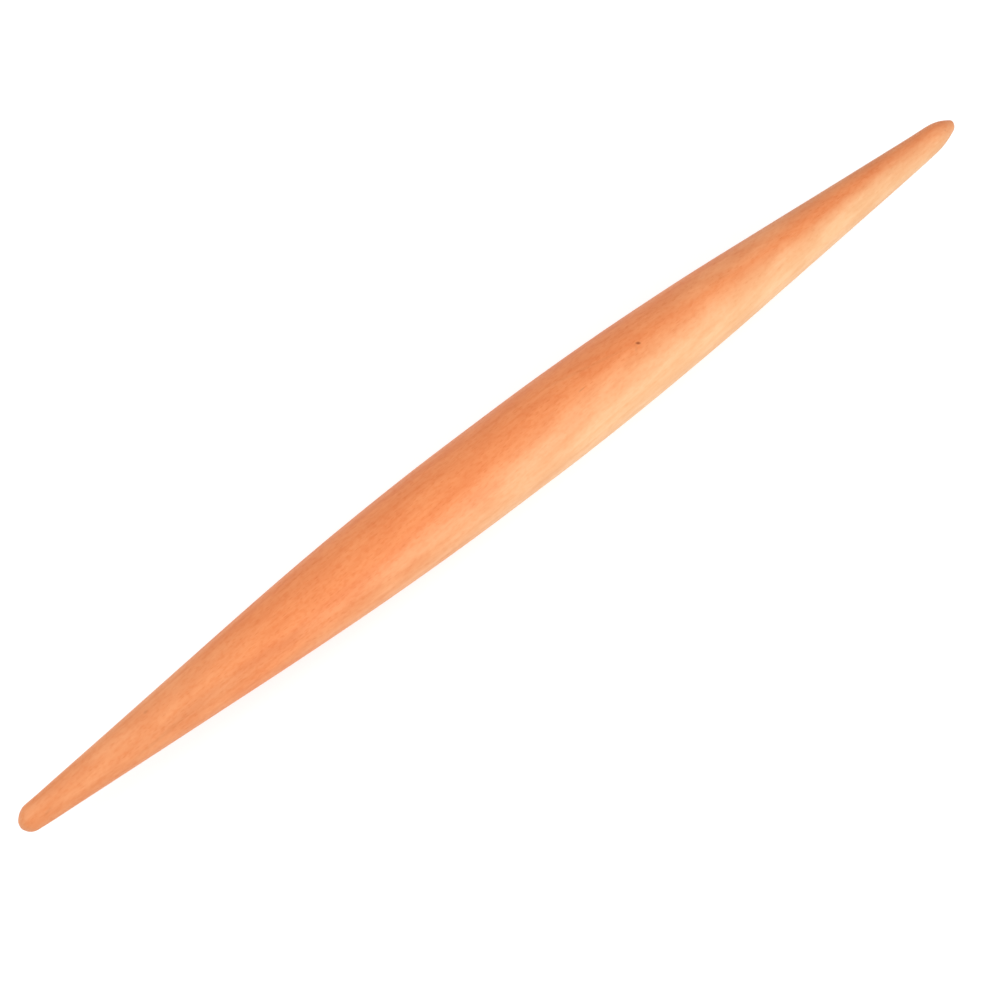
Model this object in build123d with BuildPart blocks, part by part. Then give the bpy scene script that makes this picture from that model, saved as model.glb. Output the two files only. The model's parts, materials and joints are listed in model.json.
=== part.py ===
from build123d import *
import math
import os

# French rolling pin: one stick of turned hardwood, thickest at mid-length and tapered to both tips.
# It lies along X on the pastry board. The board's surface is Z = 0 and mid-length is X = 0.
# All lengths are millimetres.

# Whole pin
pin_length = 280.0
belly_diameter = 21.5

# Belly: a short straight land at mid-length, from which a long arc runs into each taper.
# A taper's line, carried on inwards, meets the land's line at the taper's corner.
land_length = 10.0
taper_corner_offset = 37.9

# Left tip (-X): a blunt domed nose. Its shoulder is where the taper's line meets the nose cone's line.
left_nose_length = 1.7
left_shoulder_diameter = 6.05
left_nose_blend_radius = 3.7
left_end_face_diameter = 1.7
left_end_edge_radius = 2.0

# Right tip (+X): a longer and slimmer nose of the same make
right_nose_length = 4.3
right_shoulder_diameter = 6.35
right_nose_blend_radius = 16.0
right_end_face_diameter = 2.0
right_end_edge_radius = 1.3

# Sizes that follow
belly_radius = belly_diameter / 2
half_length = pin_length / 2
half_land = land_length / 2


def draw_side(
    side, nose_length, shoulder_diameter, nose_blend_radius, end_face_diameter, end_edge_radius
):
    """Draw one side of the outline, from the land to the axis, as one chain of tangent curves.

    side is 1 towards +X and -1 towards -X. The chain is the belly's arc, the straight taper, the arc
    that blends the taper into the nose, the nose's cone, the end's rounded edge and the small flat left
    inside it. The end face's diameter is taken where the cone's line would meet the face.
    """
    shoulder_offset = half_length - nose_length
    shoulder_radius = shoulder_diameter / 2
    end_face_radius = end_face_diameter / 2

    # Angles to the axis
    taper_drop = belly_radius - shoulder_radius
    taper_angle = math.atan2(taper_drop, shoulder_offset - taper_corner_offset)
    nose_angle = math.atan2(shoulder_radius - end_face_radius, nose_length)
    nose_turn = nose_angle - taper_angle
    edge_turn = math.pi / 2 - nose_angle

    # An arc that touches two lines starts its radius times the tangent of half the turn from their corner
    belly_arc_radius = (taper_corner_offset - half_land) / math.tan(taper_angle / 2)
    blend_setback = nose_blend_radius * math.tan(nose_turn / 2)
    edge_setback = end_edge_radius * math.tan(edge_turn / 2)
    taper_end = (
        side * (shoulder_offset - blend_setback * math.cos(taper_angle)),
        shoulder_radius + blend_setback * math.sin(taper_angle),
    )
    cone_end = (
        side * (half_length - edge_setback * math.cos(nose_angle)),
        end_face_radius + edge_setback * math.sin(nose_angle),
    )

    belly_arc = JernArc(
        (side * half_land, belly_radius), (side, 0), belly_arc_radius, -side * math.degrees(taper_angle)
    )
    taper = Line(belly_arc @ 1, taper_end)
    blend_arc = JernArc(taper @ 1, taper % 1, nose_blend_radius, -side * math.degrees(nose_turn))
    nose_cone = Line(blend_arc @ 1, cone_end)
    end_edge = JernArc(nose_cone @ 1, nose_cone % 1, end_edge_radius, -side * math.degrees(edge_turn))
    Line(end_edge @ 1, (side * half_length, 0))


# The outline stands upright on the turning axis, with its own x along the pin and its own y outwards
turning_plane = Plane(origin=(0, 0, belly_radius), x_dir=(1, 0, 0), z_dir=(0, -1, 0))
turning_axis = Axis(turning_plane.origin, turning_plane.x_dir)

with BuildPart() as rolling_pin:
    with BuildSketch(turning_plane):
        with BuildLine():
            Line((-half_land, belly_radius), (half_land, belly_radius))
            draw_side(
                -1,
                left_nose_length,
                left_shoulder_diameter,
                left_nose_blend_radius,
                left_end_face_diameter,
                left_end_edge_radius,
            )
            draw_side(
                1,
                right_nose_length,
                right_shoulder_diameter,
                right_nose_blend_radius,
                right_end_face_diameter,
                right_end_edge_radius,
            )
            Line((-half_length, 0), (half_length, 0))
        make_face()
    revolve(axis=turning_axis)

rolling_pin.part.label = "rolling_pin"

os.makedirs("parts", exist_ok=True)
export_step(rolling_pin.part, "parts/rolling_pin.step")
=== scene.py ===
import json
import math

import bpy
import numpy as np
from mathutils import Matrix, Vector


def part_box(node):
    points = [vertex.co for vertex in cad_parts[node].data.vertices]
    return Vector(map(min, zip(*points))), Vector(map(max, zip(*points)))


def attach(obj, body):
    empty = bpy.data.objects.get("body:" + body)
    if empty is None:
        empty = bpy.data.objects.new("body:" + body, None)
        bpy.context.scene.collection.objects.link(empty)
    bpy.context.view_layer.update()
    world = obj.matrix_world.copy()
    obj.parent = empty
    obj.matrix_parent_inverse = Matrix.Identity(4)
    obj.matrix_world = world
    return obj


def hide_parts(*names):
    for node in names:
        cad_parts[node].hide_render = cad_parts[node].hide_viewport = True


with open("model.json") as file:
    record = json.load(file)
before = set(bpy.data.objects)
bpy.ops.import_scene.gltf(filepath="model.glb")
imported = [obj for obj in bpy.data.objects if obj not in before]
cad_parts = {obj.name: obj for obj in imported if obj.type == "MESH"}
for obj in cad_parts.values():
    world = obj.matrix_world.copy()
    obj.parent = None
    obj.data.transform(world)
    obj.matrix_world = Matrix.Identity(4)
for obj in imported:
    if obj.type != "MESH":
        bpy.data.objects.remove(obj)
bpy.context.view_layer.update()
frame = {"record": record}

bl_info = {
    "name": "French Rolling Pin",
    "version": (1, 0, 0),
    "blender": (4, 5, 0),
    "location": "View3D > Sidebar > Rolling Pin",
    "description": "Turns a tapered hardwood rolling pin and sets it on a lit pale board",
    "category": "Object",
}

# Lengths are metres. The grain is drawn in millimetres, in which its rates and sizes read better.
MILLIMETRE = 0.001
TURN = 2 * math.pi
WHITE = (1, 1, 1, 1)

# What the frame says of the pin
pin_low, pin_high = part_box("rolling_pin")
belly_land = next(mount for mount in frame["record"]["mounts"] if mount["name"] == "belly_land")
AXIS_HEIGHT = belly_land["pos_m"][2]


def length_property(name, description, millimetres):
    """Property that holds a length, with its default given in millimetres."""
    return bpy.props.FloatProperty(
        name=name, description=description, unit="LENGTH", default=millimetres * MILLIMETRE
    )


def angle_property(name, description, degrees):
    """Property that holds an angle, with its default given in degrees."""
    return bpy.props.FloatProperty(
        name=name, description=description, subtype="ANGLE", default=math.radians(degrees)
    )


def share_property(name, description, share):
    """Property that holds a share from zero to one."""
    return bpy.props.FloatProperty(
        name=name, description=description, subtype="FACTOR", min=0, max=1, default=share
    )


def number_property(name, description, number):
    """Property that holds a number without a unit."""
    return bpy.props.FloatProperty(name=name, description=description, default=number)


def power_property(name, description, watts):
    """Property that holds a lamp's power in watts."""
    return bpy.props.FloatProperty(
        name=name, description=description, unit="POWER", default=watts
    )


def place_property(name, description, place):
    """Property that holds a place in metres."""
    return bpy.props.FloatVectorProperty(
        name=name, description=description, subtype="XYZ", unit="LENGTH", size=3, default=place
    )


def colour_property(name, description, colour):
    """Property that holds a scene linear colour."""
    return bpy.props.FloatVectorProperty(
        name=name, description=description, subtype="COLOR", size=4, default=(*colour, 1)
    )


class PinShape(bpy.types.PropertyGroup):
    """Sizes of the turned stick. Its own x runs along the turning axis from mid-length."""

    length: length_property("Length", "From tip to tip", (pin_high.x - pin_low.x) / MILLIMETRE)
    belly_diameter: length_property(
        "Belly diameter", "Thickness at mid-length", 2 * belly_land["dims"]["r_mm"]
    )
    land_length: length_property(
        "Land length", "Straight stretch at mid-length", belly_land["dims"]["length_mm"]
    )
    taper_corner_offset: length_property(
        "Taper corner",
        "From mid-length to where the land's line and the taper's line cross",
        37.9,
    )
    bow: length_property(
        "Bow", "How far the tips stand aside of a straight axis through mid-length", 0.574
    )
    bow_angle: angle_property(
        "Bow direction",
        "Direction in which the tips stand aside, from straight up towards -Y",
        105,
    )
    bow_onset: number_property(
        "Bow onset", "Power that delays the bow towards the tips: one spreads it evenly", 1.35
    )
    waviness: length_property(
        "Waviness", "Depth of the slow swells that a hand-held tool leaves along the stick", 0.04
    )
    oval_share: share_property(
        "Oval share", "How much of its radius the stick gained and lost across as it dried", 0.003
    )
    row_spacing: length_property(
        "Row spacing", "Largest distance between two rows of the mesh", 0.7
    )
    row_turn: angle_property(
        "Row turn", "Largest turn of the outline between two rows of the mesh", 3
    )
    columns: bpy.props.IntProperty(
        name="Columns", description="Points of the mesh around the stick", default=144
    )


class LeftNose(bpy.types.PropertyGroup):
    """Sizes of the blunt domed tip at -X. Its shoulder is where the taper meets the cone."""

    length: length_property("Nose length", "From the shoulder to the end face", 1.7)
    shoulder_diameter: length_property("Shoulder diameter", "Thickness at the shoulder", 6.05)
    blend_radius: length_property("Blend radius", "Roundness of the shoulder", 3.7)
    end_face_diameter: length_property(
        "End face diameter", "Thickness where the cone's line meets the end face", 1.7
    )
    end_edge_radius: length_property("End edge radius", "Roundness of the end face's edge", 2.0)
    shift: length_property("Shift", "How far the sanding moved the tip aside, towards -Y", -0.11)
    lean: number_property(
        "Lean", "How much further out the tip stands on its -Y side, per height", 0.165
    )


class RightNose(bpy.types.PropertyGroup):
    """Sizes of the longer and slimmer tip at +X, of the same make as the left one."""

    length: length_property("Nose length", "From the shoulder to the end face", 4.3)
    shoulder_diameter: length_property("Shoulder diameter", "Thickness at the shoulder", 6.35)
    blend_radius: length_property("Blend radius", "Roundness of the shoulder", 16.0)
    end_face_diameter: length_property(
        "End face diameter", "Thickness where the cone's line meets the end face", 2.0
    )
    end_edge_radius: length_property("End edge radius", "Roundness of the end face's edge", 1.3)
    shift: length_property("Shift", "How far the sanding moved the tip aside, towards -Y", 0.157)
    lean: number_property(
        "Lean", "How much further out the tip stands on its -Y side, per height", -0.35
    )


class WoodLook(bpy.types.PropertyGroup):
    """Colours and grain of the sanded hardwood, with its painted light and shade. The tones are
    multiplied into the wood's colour.
    """

    heartwood: colour_property("Heartwood", "Redder wood", (0.953, 0.326, 0.113))
    # Paler colour: sapwood towards the left tip and in the pale patch; on the -Y side, which faces
    # the key lamp, partly sapwood and partly painted light
    sapwood: colour_property("Sapwood", "Paler wood", (0.97, 0.592, 0.321))
    late_tone: colour_property("Late wood tone", "Dense end of a year's growth", (0.96, 0.88, 0.79))
    streak_tone: colour_property("Streak tone", "Long soft streaks", (0.97, 0.89, 0.81))
    fleck_tone: colour_property("Fleck tone", "Short soft flecks", (0.97, 0.87, 0.77))
    pore_tone: colour_property("Pore tone", "Short fine dashes of pores", (0.93, 0.82, 0.72))
    mottle_tone: colour_property("Mottle tone", "Soft patches", (0.945, 0.865, 0.795))
    # Painted shade: a tone that takes red out of the right taper's +Y side, which faces away from
    # the key lamp
    painted_shade_tone: colour_property("Painted shade tone", "Painted shade on the right taper's +Y side", (0.87, 0.97, 1.0))
    knot_colour: colour_property("Knot", "Heart of a pin knot", (0.38, 0.08, 0.01))
    ring_width: length_property("Ring width", "One year's growth", 2.1)
    grain_yaw: angle_property("Grain yaw", "How far the grain runs off the axis, from above", -2.6)
    grain_pitch: angle_property(
        "Grain pitch", "How far the grain runs off the axis, from the side", 2.5
    )
    roughness: share_property("Roughness", "Roughness of the sanded wood", 0.5)
    fuzz: share_property("Fuzz", "Sheen of the fine fibres that sanding raises", 0.1)


class StageSettings(bpy.types.PropertyGroup):
    """The board, the lamps and the camera."""

    azimuth: angle_property(
        "Azimuth", "Camera's direction round the pin; zero looks along +Y", -38.867
    )
    elevation: angle_property("Elevation", "Camera's height above the horizon", 70)
    distance: length_property("Distance", "From the camera to the point it aims at", 540.5)
    focal_pixels: number_property(
        "Focal length", "Focal length in pixels of the square picture", 2310
    )
    picture_pixels: number_property(
        "Picture side", "Side of the square picture in pixels", 1002
    )
    aim_right: length_property(
        "Aim right", "How far right of mid-length the camera aims", -2.323
    )
    aim_up: length_property("Aim up", "How far above mid-length the camera aims", -11.116)
    sky_strength: number_property(
        "Sky strength", "Light of the white tent round the board", 0.675
    )
    key_power: power_property("Key power", "Power of the lamp by the right half", 0.525)
    key_size: length_property("Key size", "Width of the lamp by the right half", 250)
    key_place: place_property(
        "Key place", "Where the lamp by the right half hangs", (0.036, -0.285, 0.185)
    )
    key_target: place_property(
        "Key target", "What the lamp by the right half is aimed at", (0.14, 0, AXIS_HEIGHT)
    )
    fill_power: power_property("Fill power", "Power of the lamp beyond the left tip", 0.645)
    fill_size: length_property("Fill size", "Width of the lamp beyond the left tip", 350)
    fill_place: place_property(
        "Fill place", "Where the lamp beyond the left tip hangs", (-0.334, 0.193, 0.47)
    )
    board_side: length_property("Board side", "Side of the square board", 8000)
    board_tone: share_property("Board tone", "How pale the board is", 0.6)
    board_lift: number_property(
        "Board lift", "Light that only the camera and reflections see on the board", 0.62
    )


def bend(start, angle_in, angle_out, radius, pin):
    """Points of an arc that turns inwards from start.

    An angle is how steeply the outline falls towards the axis. The centre lies one radius from the
    start, square to the outline, and the point at angle a is the centre plus radius times
    (sin a, cos a).
    """
    turn = angle_out - angle_in
    steps = math.ceil(max(turn * radius / pin.row_spacing, turn / pin.row_turn))
    angles = np.linspace(angle_in, angle_out, steps + 1)
    centre = start - radius * np.array([math.sin(angle_in), math.cos(angle_in)])
    return centre + radius * np.column_stack([np.sin(angles), np.cos(angles)])


def straight(start, end, pin):
    """Evenly spaced points from start to end, both included."""
    steps = math.ceil(math.dist(start, end) / pin.row_spacing)
    shares = np.linspace(0, 1, steps + 1)[:, None]
    return start + shares * (end - start)


def side_outline(pin, nose):
    """Outline of one side as (distance from mid-length, radius), from the land's end to the pole.

    The belly's arc turns from the axis's direction to the taper's angle, the blend arc from there
    to the nose cone's angle, and the end edge from there to square. Each arc that joins two lines
    starts its radius times the tangent of half the turn from their corner.
    """
    belly_radius = pin.belly_diameter / 2
    land_end = np.array([pin.land_length / 2, belly_radius])
    shoulder = np.array([pin.length / 2 - nose.length, nose.shoulder_diameter / 2])
    end_corner = np.array([pin.length / 2, nose.end_face_diameter / 2])
    end_centre = np.array([pin.length / 2, 0])

    taper_angle = math.atan2(belly_radius - shoulder[1], shoulder[0] - pin.taper_corner_offset)
    nose_angle = math.atan2(shoulder[1] - end_corner[1], nose.length)
    taper_way = np.array([math.cos(taper_angle), -math.sin(taper_angle)])
    nose_way = np.array([math.cos(nose_angle), -math.sin(nose_angle)])
    square = math.pi / 2

    belly_arc_radius = (pin.taper_corner_offset - land_end[0]) / math.tan(taper_angle / 2)
    blend_reach = nose.blend_radius * math.tan((nose_angle - taper_angle) / 2)
    edge_reach = nose.end_edge_radius * math.tan((square - nose_angle) / 2)
    taper_end = shoulder - taper_way * blend_reach
    cone_end = end_corner - nose_way * edge_reach

    belly_arc = bend(land_end, 0, taper_angle, belly_arc_radius, pin)
    blend_arc = bend(taper_end, taper_angle, nose_angle, nose.blend_radius, pin)
    edge_arc = bend(cone_end, nose_angle, square, nose.end_edge_radius, pin)
    pieces = [
        belly_arc,
        straight(belly_arc[-1], taper_end, pin),
        blend_arc,
        straight(blend_arc[-1], cone_end, pin),
        edge_arc,
        straight(edge_arc[-1], end_centre, pin),
    ]
    return np.vstack([pieces[0]] + [piece[1:] for piece in pieces[1:]])


def pin_outline(pin, left_nose, right_nose):
    """Outline from pole to pole: the mirrored left side, the land and the right side."""
    left = side_outline(pin, left_nose)[::-1] * (-1, 1)
    right = side_outline(pin, right_nose)
    land = straight(left[-1], right[0], pin)
    return np.vstack([left, land[1:-1], right])


def smooth_step(value):
    """Zero up to zero, one from one, and a smooth rise between: 3 v squared less 2 v cubed."""
    value = np.clip(value, 0, 1)
    return value * value * (3 - 2 * value)


# How far from a tip its shift and its lean reach, and over what length the lean sets in
SHIFT_REACH = 9 * MILLIMETRE
LEAN_REACH = 13 * MILLIMETRE
LEAN_RISE = 7 * MILLIMETRE

# Each swell's share of the waviness, and its turns over half the stick and at mid-length in radians
SWELLS = ((0.5, 9.4, 1.1), (0.3, 17.3, -0.6), (0.2, 31.7, 0.0))

# Where round the stick its oval is widest, in radians from straight up towards -Y
OVAL_ANGLE = 0.9


def pin_points(pin, left_nose, right_nose, outline):
    """Grid of points of the stick, rows along it and columns round it, poles included.

    A column's angle runs from straight up towards -Y. The radius is the outline's, times one plus
    the slow swells along the stick, which are sines, and the oval across it, which is the cosine of
    twice the angle. The row's centre stands aside of the axis by the bow times half of one less the
    cosine of a half turn, taken by the share of the half length raised to the bow's onset. Near a
    tip the centre moves towards -Y by the nose's shift, times the square of how close the tip is,
    and the -Y side stands out along the axis by the lean times its height.
    """
    along = outline[:, 0][:, None]
    radius = outline[:, 1][:, None]
    angle = np.linspace(0, TURN, pin.columns, endpoint=False)[None, :]

    share = along / (pin.length / 2)
    swells = sum(part * np.sin(turn * share + start) for part, turn, start in SWELLS)
    swell_share = pin.waviness / (pin.belly_diameter / 2) * swells
    oval = pin.oval_share * np.cos(2 * (angle - OVAL_ANGLE))
    radius = radius * (1 + swell_share + oval)

    to_tip = pin.length / 2 - np.abs(along)
    shift = np.where(along < 0, left_nose.shift, right_nose.shift)
    lean = np.where(along < 0, -left_nose.lean, right_nose.lean)
    nearness = np.clip(1 - to_tip / SHIFT_REACH, 0, 1)
    sideways = radius * np.sin(angle) + shift * nearness**2
    x = along + lean * smooth_step((LEAN_REACH - to_tip) / LEAN_RISE) * sideways

    aside = pin.bow * (1 - np.cos(math.pi * np.abs(share) ** pin.bow_onset)) / 2
    y = -aside * math.sin(pin.bow_angle) - sideways
    z = AXIS_HEIGHT + aside * math.cos(pin.bow_angle) + radius * np.cos(angle)
    return np.stack([x, y, z], axis=-1)


def pin_mesh(pin, left_nose, right_nose):
    """Closed mesh of the stick: quads between neighbouring rows and columns, a fan at each pole."""
    outline = pin_outline(pin, left_nose, right_nose)
    with_poles = pin_points(pin, left_nose, right_nose, outline)
    grid = with_poles[1:-1]
    rows, columns = grid.shape[:2]
    poles = with_poles[[0, -1], 0]
    points = np.vstack([grid.reshape(-1, 3), poles])

    here = np.arange(rows * columns).reshape(rows, columns)
    beside = np.roll(here, -1, axis=1)
    quads = np.stack([here[:-1], here[1:], beside[1:], beside[:-1]], axis=-1).reshape(-1, 4)
    left_pole = rows * columns
    right_pole = left_pole + 1
    left_fan = np.stack([np.full(columns, left_pole), here[0], beside[0]], axis=-1)
    right_fan = np.stack([np.full(columns, right_pole), beside[-1], here[-1]], axis=-1)

    mesh = bpy.data.meshes.new("rolling_pin_turned")
    faces = quads.tolist() + left_fan.tolist() + right_fan.tolist()
    mesh.from_pydata(points.tolist(), [], faces)
    mesh.polygons.foreach_set("use_smooth", np.ones(len(mesh.polygons), dtype=bool))
    mesh.validate()
    mesh.update()
    return mesh


def add_node(tree, kind, inputs=None, **settings):
    """Add a node, set its settings, and give each named or numbered input a value or a link."""
    node = tree.nodes.new(kind)
    for name, value in settings.items():
        setattr(node, name, value)
    for key, value in (inputs or {}).items():
        if isinstance(value, bpy.types.NodeSocket):
            tree.links.new(value, node.inputs[key])
        else:
            node.inputs[key].default_value = value
    return node


def add_group(tree, group, inputs):
    """Add a node that holds the group."""
    return add_node(tree, "ShaderNodeGroup", inputs, node_tree=group)


def calculate(tree, operation, first, second=0.0, third=0.0):
    """Output of a Math node."""
    node = add_node(tree, "ShaderNodeMath", {0: first, 1: second, 2: third}, operation=operation)
    return node.outputs[0]


def ramp(tree, value, low, high, start=0.0, end=1.0):
    """Output of a smooth Map Range node, from start at low to end at high."""
    inputs = {"Value": value, "From Min": low, "From Max": high, "To Min": start, "To Max": end}
    node = add_node(tree, "ShaderNodeMapRange", inputs, interpolation_type="SMOOTHSTEP")
    return node.outputs["Result"]


def blend_colours(tree, factor, first, second, blend_type="MIX"):
    """Colour output of a Mix node. Its colour inputs are the seventh and the eighth."""
    inputs = {0: factor, 6: first, 7: second}
    node = add_node(tree, "ShaderNodeMix", inputs, data_type="RGBA", blend_type=blend_type)
    return node.outputs[2]


def tint(tree, colour, mask, tone):
    """Colour multiplied by the tone where the mask is one, and less so where it is lower."""
    return blend_colours(tree, mask, colour, tone, "MULTIPLY")


def fade(tree, mask, cover, share):
    """Mask times one less the share times the cover."""
    return calculate(tree, "MULTIPLY", mask, calculate(tree, "MULTIPLY_ADD", cover, -share, 1.0))


def stretch(tree, vector, rates):
    """Vector times a rate in each direction."""
    node = add_node(tree, "ShaderNodeVectorMath", {0: vector, 1: rates}, operation="MULTIPLY")
    return node.outputs["Vector"]


def stretched_noise(tree, vector, rates, detail, roughness=0.5):
    """Noise value whose features are one over the rate long in each direction of the vector."""
    inputs = {
        "Vector": stretch(tree, vector, rates),
        "Scale": 1.0,
        "Detail": detail,
        "Roughness": roughness,
    }
    return add_node(tree, "ShaderNodeTexNoise", inputs).outputs["Fac"]


def centred_noise(tree, vector, rates, detail):
    """Noise value less a half, so that it pushes both ways."""
    return calculate(tree, "SUBTRACT", stretched_noise(tree, vector, rates, detail), 0.5)


def length_of(tree, vector):
    """Length of a vector."""
    return add_node(tree, "ShaderNodeVectorMath", {0: vector}, operation="LENGTH").outputs["Value"]


def new_group(name, inputs, outputs):
    """Empty shader node group with named sockets: the tree, its input node and its output node."""
    group = bpy.data.node_groups.new(name, "ShaderNodeTree")
    for in_out, sockets in (("INPUT", inputs), ("OUTPUT", outputs)):
        for socket, kind in sockets.items():
            group.interface.new_socket(name=socket, in_out=in_out, socket_type=kind)
    return group, group.nodes.new("NodeGroupInput"), group.nodes.new("NodeGroupOutput")


# How many features of each pattern come per millimetre, along the grain and twice across it
RING_PUSH_RATES = (0.012, 0.09, 0.09)
STREAK_RATES = (0.05, 0.9, 0.9)
DASH_RATES = (0.55, 3.4, 3.4)
FLECK_RATES = (0.7, 1.3, 1.3)
MOTTLE_RATES = (0.09, 0.3, 0.3)
BORDER_RATES = (0.03, 0.15, 0.15)

# Ramps that cut the patterns, as ramp() takes them. The rise and the drop read the share of a year,
# the middle the distance to a cell's centre, and the choice a cell's random value.
LATE_RISE = (0.3, 0.9)
LATE_DROP = (0.92, 1.0, 1.0, 0.0)
STREAK_RAMP = (0.35, 0.75)
DASH_MIDDLE = (0.1, 0.5, 1.0, 0.0)
DASH_CHOICE = (0.35, 1.0)
FLECK_RAMP = (0.42, 0.72)
MOTTLE_RAMP = (0.35, 0.65)
MARK_RAMP = (0.2, 1.0, 1.0, 0.0)


def growth_ring_group():
    """Year rings about the pith, which is the x axis of the vector, in millimetres.

    The year is the distance to the pith, pushed about by slow noise times the waver, over the ring
    width. Late Wood rises over each year and drops at its end. Year Tone is a random value for each
    year.
    """
    group, given, result = new_group(
        "Growth rings",
        {"Vector": "NodeSocketVector", "Ring Width": "NodeSocketFloat", "Waver": "NodeSocketFloat"},
        {"Late Wood": "NodeSocketFloat", "Year Tone": "NodeSocketFloat"},
    )
    vector = given.outputs["Vector"]
    distance = length_of(group, stretch(group, vector, (0, 1, 1)))
    push = centred_noise(group, vector, RING_PUSH_RATES, detail=2.0)
    pushed = calculate(group, "MULTIPLY_ADD", push, given.outputs["Waver"], distance)
    year = calculate(group, "DIVIDE", pushed, given.outputs["Ring Width"])
    season = calculate(group, "FRACT", year)
    rise = ramp(group, season, *LATE_RISE)
    drop = ramp(group, season, *LATE_DROP)
    whole_year = {"W": calculate(group, "FLOOR", year)}
    tone = add_node(group, "ShaderNodeTexWhiteNoise", whole_year, noise_dimensions="1D")
    group.links.new(calculate(group, "MULTIPLY", rise, drop), result.inputs["Late Wood"])
    group.links.new(tone.outputs["Value"], result.inputs["Year Tone"])
    return group


def fibre_group():
    """Long fibres, short dashes and patches of a fine hardwood. The vector is in millimetres.

    Streaks is noise drawn out along the grain, and Flecks is shorter noise. Dashes marks the middle
    of some of the cells of a Voronoi pattern drawn out in the same way: those whose random value is
    high. Mottle is softer and wider noise.
    """
    outputs = dict.fromkeys(("Streaks", "Flecks", "Dashes", "Mottle"), "NodeSocketFloat")
    group, given, result = new_group("Fibres", {"Vector": "NodeSocketVector"}, outputs)
    vector = given.outputs["Vector"]
    streaks = stretched_noise(group, vector, STREAK_RATES, detail=5.0, roughness=0.62)
    cell_inputs = {"Vector": stretch(group, vector, DASH_RATES), "Scale": 1.0}
    cells = add_node(group, "ShaderNodeTexVoronoi", cell_inputs)
    middle = ramp(group, cells.outputs["Distance"], *DASH_MIDDLE)
    cell_values = add_node(group, "ShaderNodeSeparateColor", {0: cells.outputs["Color"]})
    chosen = ramp(group, cell_values.outputs[0], *DASH_CHOICE)
    flecks = ramp(group, stretched_noise(group, vector, FLECK_RATES, detail=2.0), *FLECK_RAMP)
    mottle = ramp(group, stretched_noise(group, vector, MOTTLE_RATES, detail=3.0), *MOTTLE_RAMP)
    group.links.new(streaks, result.inputs["Streaks"])
    group.links.new(flecks, result.inputs["Flecks"])
    group.links.new(calculate(group, "MULTIPLY", middle, chosen), result.inputs["Dashes"])
    group.links.new(mottle, result.inputs["Mottle"])
    return group


def mark_group():
    """A spindle-shaped mark in the wood, such as a pin knot or a dark streak; it also places a
    patch of painted shade.

    The vector is measured from the mark's centre, turned into its directions and divided by its
    half sizes. Mask is one at the centre and falls to zero where the result's length reaches one.
    """
    names = ("Vector", "Centre", "Turn", "Half Size")
    group, given, result = new_group(
        "Wood mark and painted shade", dict.fromkeys(names, "NodeSocketVector"), {"Mask": "NodeSocketFloat"}
    )
    mapping_inputs = {
        "Vector": given.outputs["Vector"],
        "Location": given.outputs["Centre"],
        "Rotation": given.outputs["Turn"],
        "Scale": given.outputs["Half Size"],
    }
    own_place = add_node(group, "ShaderNodeMapping", mapping_inputs, vector_type="TEXTURE")
    mask = ramp(group, length_of(group, own_place.outputs["Vector"]), *MARK_RAMP)
    group.links.new(mask, result.inputs["Mask"])
    return group


# Marks in the wood, in pin coordinates and millimetres: the centre's distance from mid-length, its
# angle from straight up towards -Y in degrees and its distance to the axis, the half sizes, the
# turns in degrees and how strong the mark is
WOOD_MARKS = {
    "pin knot": ((38.0, 0.9, 10.1), (0.85, 0.52, 1.5), (0, 0, -39), 1.0),
    "knot tail": ((36.8, 5.0, 10.1), (1.5, 0.5, 1.5), (0, 0, 55), 0.12),
    "vein to the knot": ((25.0, -14.0, 10.4), (17, 0.7, 2.0), (0, -2.4, -11.7), 0.08),
    "fleck": ((-103.3, -15.2, 5.7), (0.9, 0.6, 1.5), (0, 0, 0), 0.22),
    "short line": ((20.1, 6.0, 10.6), (1.35, 0.26, 1.5), (0, 0, 2), 0.3),
    "dot by the right tip": ((135.9, 27.6, 3.2), (0.5, 0.4, 1.0), (0, 0, 0), 0.3),
    "tip line": ((-133.0, 47.0, 3.4), (2.2, 0.5, 1.5), (0, 0, 11), 0.13),
    "left taper's band": ((-83.0, 42.0, 7.6), (34, 2.6, 3.2), (0, -2.7, -2.3), 0.13),
    "left taper's streak": ((-102.0, 54.0, 5.8), (13, 0.7, 1.5), (0, -5.0, 2.0), 0.10),
}

# A patch on the right taper where the heartwood is paler, given in the same way
PALE_PATCH = ((72, -25.0, 8.2), (42, 5.5, 4.5), (0, 3.0, 2.0), 0.22)

# Painted shade on the +Y side of the right taper, which faces away from the key lamp, given in the
# same way
PAINTED_SHADE_SIDE = ((120.0, -80.0, 6.0), (90, 8.0, 8.0), (0, 0, 0), 1.0)

# The border between heartwood and the paler -Y side, which faces the key lamp and is partly sapwood
# and partly painted light,
# as ramps along the grain in millimetres: where across the grain it lies, how far further out it
# lies on the right taper, and how wide the change is
BORDER_PLACE = (-25.0, 20.0, -8.2, -6.2)
BORDER_RIGHT_MOVE = (80.0, 125.0, 0.0, -1.1)
BORDER_WIDTH = (0.0, 125.0, 13.5, 6.0)
BORDER_WAVER = 4.0

# Share of sapwood towards the left tip, as a ramp along the grain in millimetres
LEFT_TIP_SAPWOOD = (-95.0, -70.0, 0.2, 0.0)

# How much of the long grain and of the flecks and dashes is lost in the paler colour, which is
# sapwood and on the -Y side partly painted light
LONG_GRAIN_LOSS = 0.45
FLECK_LOSS = 0.65

# Where the pith ran, in grain coordinates and millimetres, and how far the rings waver
PITH = (0, 8, -60)
RING_WAVER = 4.0

# What dashes and streaks add to the roughness, how deep a dash is against a streak, and the height
# of the whole
DASH_ROUGHNESS = 0.12
STREAK_ROUGHNESS = 0.08
DASH_DEPTH = 0.6
BUMP_STRENGTH = 0.35
BUMP_HEIGHT = 0.05 * MILLIMETRE
WOOD_IOR = 1.45


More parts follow.
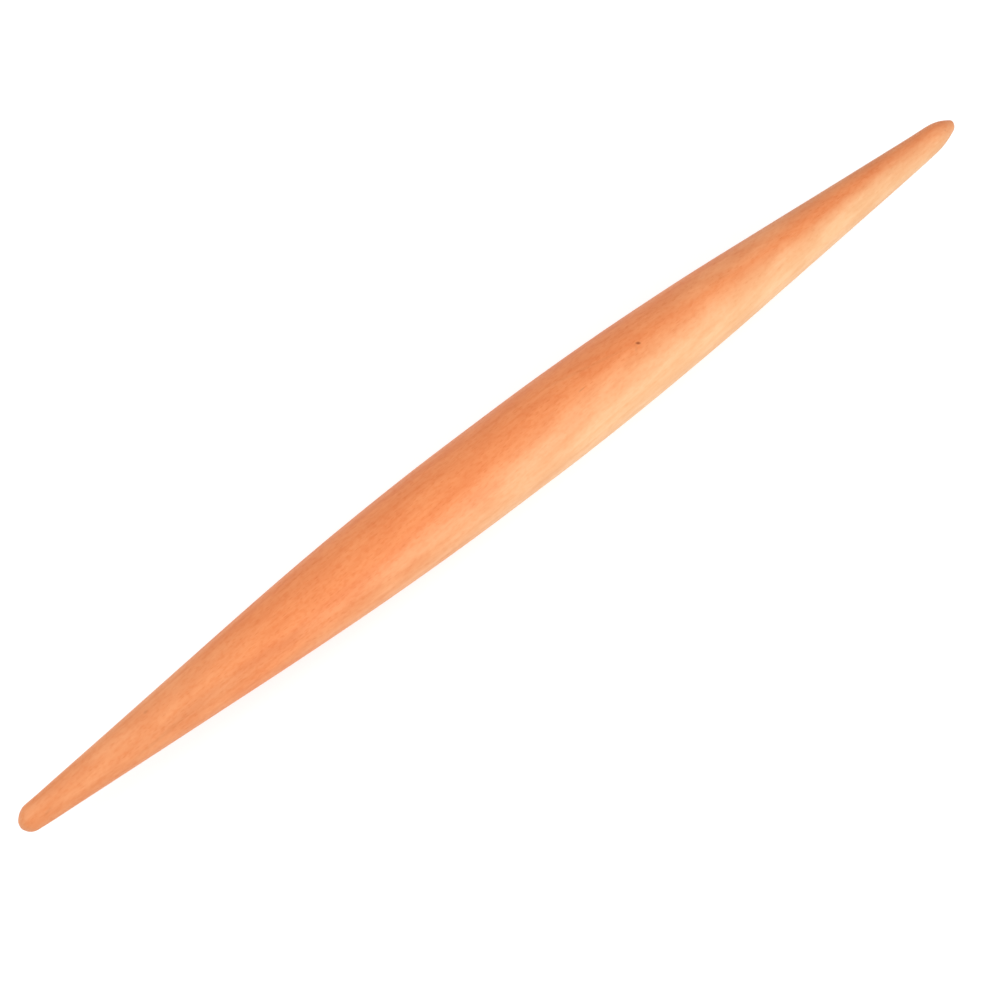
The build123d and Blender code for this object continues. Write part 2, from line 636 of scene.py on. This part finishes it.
def place_mark(tree, group, vector, spot, half_size, turns, strength):
    """Mask of one mark times its strength. Its centre's y and z come from its angle and radius."""
    offset, angle, radius = spot
    angle = math.radians(angle)
    inputs = {
        "Vector": vector,
        "Centre": (offset, -radius * math.sin(angle), radius * math.cos(angle)),
        "Turn": [math.radians(turn) for turn in turns],
        "Half Size": half_size,
    }
    mask = add_group(tree, group, inputs).outputs["Mask"]
    return calculate(tree, "MULTIPLY", mask, strength)


def sapwood_and_painted_light_share(tree, mark, pin_vector, grain_vector):
    """How much of the wood takes the paler colour, from zero to one.

    On the -Y side, which faces the key lamp, it rises with how far past the border a point lies,
    over the border's width: there the paler colour is partly sapwood and partly painted light. The
    border's place is the sum of two ramps along the grain, and slow noise pushes it about. Some
    sapwood also shows towards the left tip and in the pale patch. The largest of the three counts.
    """
    axes = add_node(tree, "ShaderNodeSeparateXYZ", {0: grain_vector})
    along, across = axes.outputs["X"], axes.outputs["Y"]
    drift = centred_noise(tree, grain_vector, BORDER_RATES, detail=3.0)
    pushed = calculate(tree, "MULTIPLY_ADD", drift, BORDER_WAVER, across)
    place = ramp(tree, along, *BORDER_PLACE)
    border = calculate(tree, "ADD", place, ramp(tree, along, *BORDER_RIGHT_MOVE))
    depth = calculate(tree, "SUBTRACT", border, pushed)
    width = ramp(tree, along, *BORDER_WIDTH)
    # The -Y side, which faces the key lamp, turns paler: partly sapwood, partly painted light
    side = ramp(tree, calculate(tree, "DIVIDE", depth, width), -0.5, 0.5)
    left_tip = ramp(tree, along, *LEFT_TIP_SAPWOOD)
    patch = place_mark(tree, mark, pin_vector, *PALE_PATCH)
    return calculate(tree, "MAXIMUM", calculate(tree, "MAXIMUM", side, left_tip), patch)


def grained_colour(tree, wood, sap_and_painted_light, rings, fibres):
    """Heartwood blended into the paler colour, which is sapwood and on the -Y side partly painted
    light, then tinted by the rings, streaks, flecks, dashes and mottle.

    The paler colour, sapwood and on the -Y side partly painted light, hides part of the grain.
    """
    late = calculate(tree, "MULTIPLY", rings.outputs["Late Wood"], rings.outputs["Year Tone"])
    streaks = ramp(tree, fibres.outputs["Streaks"], *STREAK_RAMP)
    colour = blend_colours(tree, sap_and_painted_light, wood.heartwood, wood.sapwood)
    for mask, loss, tone in (
        (late, LONG_GRAIN_LOSS, wood.late_tone),
        (streaks, LONG_GRAIN_LOSS, wood.streak_tone),
        (fibres.outputs["Flecks"], FLECK_LOSS, wood.fleck_tone),
        (fibres.outputs["Dashes"], FLECK_LOSS, wood.pore_tone),
    ):
        colour = tint(tree, colour, fade(tree, mask, sap_and_painted_light, loss), tone)
    return tint(tree, colour, fibres.outputs["Mottle"], wood.mottle_tone)


def sanded_hardwood(wood):
    """Material of the stick: bare sanded hardwood, reddish, paler on its -Y side, which faces the
    key lamp (partly sapwood, partly painted light), with painted shade on the right taper's +Y
    side.
    """
    material = bpy.data.materials.new("sanded_hardwood")
    material.use_nodes = True
    tree = material.node_tree
    tree.nodes.clear()

    # Pin coordinates are millimetres from mid-length on the axis, and grain coordinates turn off it
    scaled = {
        "Vector": add_node(tree, "ShaderNodeTexCoord").outputs["Object"],
        "Location": (0, 0, -AXIS_HEIGHT / MILLIMETRE),
        "Scale": (1 / MILLIMETRE,) * 3,
    }
    pin_vector = add_node(tree, "ShaderNodeMapping", scaled).outputs["Vector"]
    turned = {"Vector": pin_vector, "Rotation": (0, wood.grain_pitch, wood.grain_yaw)}
    grain_vector = add_node(tree, "ShaderNodeMapping", turned).outputs["Vector"]
    moved = {"Vector": grain_vector, "Location": [-part for part in PITH]}
    pith_vector = add_node(tree, "ShaderNodeMapping", moved).outputs["Vector"]

    ring_inputs = {
        "Vector": pith_vector,
        "Ring Width": wood.ring_width / MILLIMETRE,
        "Waver": RING_WAVER,
    }
    rings = add_group(tree, growth_ring_group(), ring_inputs)
    fibres = add_group(tree, fibre_group(), {"Vector": grain_vector})
    mark = mark_group()
    # Share of the paler colour: sapwood, and on the -Y side partly painted light
    sap_and_painted_light = sapwood_and_painted_light_share(tree, mark, pin_vector, grain_vector)
    colour = grained_colour(tree, wood, sap_and_painted_light, rings, fibres)
    # Painted shade: the right taper's +Y side, which faces away from the key lamp, loses red
    painted_shade = place_mark(tree, mark, pin_vector, *PAINTED_SHADE_SIDE)
    colour = tint(tree, colour, painted_shade, wood.painted_shade_tone)
    for spot, half_size, turns, strength in WOOD_MARKS.values():
        mask = place_mark(tree, mark, pin_vector, spot, half_size, turns, strength)
        colour = blend_colours(tree, mask, colour, wood.knot_colour)

    # Satin, a little rougher in the dashes and streaks, with the dashes just sunk into the surface
    dashes, streaks = fibres.outputs["Dashes"], fibres.outputs["Streaks"]
    rough = calculate(tree, "MULTIPLY_ADD", dashes, DASH_ROUGHNESS, wood.roughness)
    rough = calculate(tree, "MULTIPLY_ADD", streaks, STREAK_ROUGHNESS, rough)
    height = calculate(tree, "MULTIPLY_ADD", dashes, -DASH_DEPTH, streaks)
    bump_inputs = {"Strength": BUMP_STRENGTH, "Distance": BUMP_HEIGHT, "Height": height}
    bump = add_node(tree, "ShaderNodeBump", bump_inputs)
    surface_inputs = {
        "Base Color": colour,
        "Roughness": rough,
        "IOR": WOOD_IOR,
        "Sheen Weight": wood.fuzz,
        "Normal": bump.outputs["Normal"],
    }
    surface = add_node(tree, "ShaderNodeBsdfPrincipled", surface_inputs)
    add_node(tree, "ShaderNodeOutputMaterial", {"Surface": surface.outputs["BSDF"]})
    return material


def seen_rays(tree):
    """One for camera, glossy and transmission rays, zero for the rays that carry light."""
    path = add_node(tree, "ShaderNodeLightPath")
    seen = calculate(tree, "ADD", path.outputs["Is Camera Ray"], path.outputs["Is Glossy Ray"])
    seen = calculate(tree, "ADD", seen, path.outputs["Is Transmission Ray"])
    return calculate(tree, "MINIMUM", seen, 1.0)


def pale_board(stage):
    """Material of the board: matt, and white to the camera, reflections and glass.

    What the lamps leave short of white is added as light that only those rays see, so that the
    shadow stays.
    """
    material = bpy.data.materials.new("pale_board")
    material.use_nodes = True
    tree = material.node_tree
    tree.nodes.clear()
    matt = add_node(tree, "ShaderNodeBsdfDiffuse", {"Color": (*[stage.board_tone] * 3, 1)})
    strength = calculate(tree, "MULTIPLY", seen_rays(tree), stage.board_lift)
    lift = add_node(tree, "ShaderNodeEmission", {"Color": WHITE, "Strength": strength})
    both_inputs = {0: matt.outputs["BSDF"], 1: lift.outputs["Emission"]}
    both = add_node(tree, "ShaderNodeAddShader", both_inputs)
    add_node(tree, "ShaderNodeOutputMaterial", {"Surface": both.outputs["Shader"]})
    return material


def white_tent(stage):
    """World: plain light of the sky strength, which the camera and reflections see as white."""
    world = bpy.data.worlds.new("white_tent")
    world.use_nodes = True
    tree = world.node_tree
    tree.nodes.clear()
    extra = calculate(tree, "MULTIPLY", seen_rays(tree), 1 - stage.sky_strength)
    strength = calculate(tree, "ADD", extra, stage.sky_strength)
    light = add_node(tree, "ShaderNodeBackground", {"Color": WHITE, "Strength": strength})
    add_node(tree, "ShaderNodeOutputWorld", {"Surface": light.outputs["Background"]})
    return world


def aim(thing, target):
    """Turn a lamp or a camera, which looks along its own -Z, towards the target."""
    thing.rotation_euler = (target - thing.location).to_track_quat("-Z", "Y").to_euler()


def hang_lamp(scene, name, power, size, place, target):
    """Square soft lamp at a place, aimed at the target."""
    light = bpy.data.lights.new(name, "AREA")
    light.energy = power
    light.size = size
    lamp = bpy.data.objects.new(name, light)
    lamp.location = place
    aim(lamp, Vector(target))
    scene.collection.objects.link(lamp)


def set_camera(scene, stage, centre):
    """Camera that looks at a point beside the centre.

    Back is the direction from that point to the camera, by azimuth and elevation, right is level
    and square to it, and up is their cross product. The point is the centre plus the aims along
    right and up. The lens length is the sensor's width times the focal length over the picture's
    side, both in pixels.
    """
    flat = math.cos(stage.elevation)
    rise = math.sin(stage.elevation)
    east, north = math.sin(stage.azimuth), -math.cos(stage.azimuth)
    back = Vector((east * flat, north * flat, rise))
    right = Vector((-north, east, 0))
    target = centre + right * stage.aim_right + back.cross(right) * stage.aim_up
    lens = bpy.data.cameras.new("camera")
    lens.lens = stage.focal_pixels / stage.picture_pixels * lens.sensor_width
    camera = bpy.data.objects.new("camera", lens)
    camera.location = target + back * stage.distance
    aim(camera, target)
    scene.collection.objects.link(camera)
    scene.camera = camera


class ROLLINGPIN_OT_turn_pin(bpy.types.Operator):
    """Make the turned stick and its sanded hardwood"""

    bl_idname = "rolling_pin.turn_pin"
    bl_label = "Turn the pin"

    def execute(self, context):
        scene = context.scene
        mesh = pin_mesh(scene.pin_shape, scene.left_nose, scene.right_nose)
        pin = bpy.data.objects.new("turned_pin", mesh)
        scene.collection.objects.link(pin)
        mesh.materials.append(sanded_hardwood(scene.wood_look))
        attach(pin, "root")
        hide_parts("rolling_pin")
        return {"FINISHED"}


class ROLLINGPIN_OT_set_stage(bpy.types.Operator):
    """Lay the pale board under the pin and set up the tent, the two lamps and the camera"""

    bl_idname = "rolling_pin.set_stage"
    bl_label = "Set the stage"

    def execute(self, context):
        scene = context.scene
        stage = scene.pin_stage
        half = stage.board_side / 2
        mesh = bpy.data.meshes.new("board")
        corners = [(-half, -half, 0), (half, -half, 0), (half, half, 0), (-half, half, 0)]
        mesh.from_pydata(corners, [], [(0, 1, 2, 3)])
        mesh.materials.append(pale_board(stage))
        board = bpy.data.objects.new("board", mesh)
        scene.collection.objects.link(board)

        scene.world = white_tent(stage)
        scene.view_settings.view_transform = "Standard"

        centre = Vector((0, 0, AXIS_HEIGHT))
        for name, power, size, place, target in (
            ("key_lamp", stage.key_power, stage.key_size, stage.key_place, stage.key_target),
            ("fill_lamp", stage.fill_power, stage.fill_size, stage.fill_place, centre),
        ):
            hang_lamp(scene, name, power, size, place, target)
        set_camera(scene, stage, centre)
        return {"FINISHED"}


class ROLLINGPIN_PT_panel(bpy.types.Panel):
    """Sizes, wood and stage of the rolling pin"""

    bl_idname = "ROLLINGPIN_PT_panel"
    bl_label = "Rolling Pin"
    bl_space_type = "VIEW_3D"
    bl_region_type = "UI"
    bl_category = "Rolling Pin"

    def draw(self, context):
        layout = self.layout
        for owner, (_, title) in PROPERTY_OWNERS.items():
            settings = getattr(context.scene, owner)
            box = layout.box()
            box.label(text=title)
            for name in settings.__annotations__:
                box.prop(settings, name)
        layout.operator(ROLLINGPIN_OT_turn_pin.bl_idname)
        layout.operator(ROLLINGPIN_OT_set_stage.bl_idname)


PROPERTY_OWNERS = {
    "pin_shape": (PinShape, "Pin"),
    "left_nose": (LeftNose, "Left nose"),
    "right_nose": (RightNose, "Right nose"),
    "wood_look": (WoodLook, "Wood"),
    "pin_stage": (StageSettings, "Stage"),
}
CLASSES = (
    PinShape,
    LeftNose,
    RightNose,
    WoodLook,
    StageSettings,
    ROLLINGPIN_OT_turn_pin,
    ROLLINGPIN_OT_set_stage,
    ROLLINGPIN_PT_panel,
)


def register():
    for cls in CLASSES:
        bpy.utils.register_class(cls)
    for owner, (group, _) in PROPERTY_OWNERS.items():
        setattr(bpy.types.Scene, owner, bpy.props.PointerProperty(type=group))


def unregister():
    for owner in PROPERTY_OWNERS:
        delattr(bpy.types.Scene, owner)
    for cls in reversed(CLASSES):
        bpy.utils.unregister_class(cls)


def main():
    register()
    bpy.ops.rolling_pin.turn_pin()
    bpy.ops.rolling_pin.set_stage()
    bpy.context.view_layer.update()


if __name__ == "__main__":
    main()
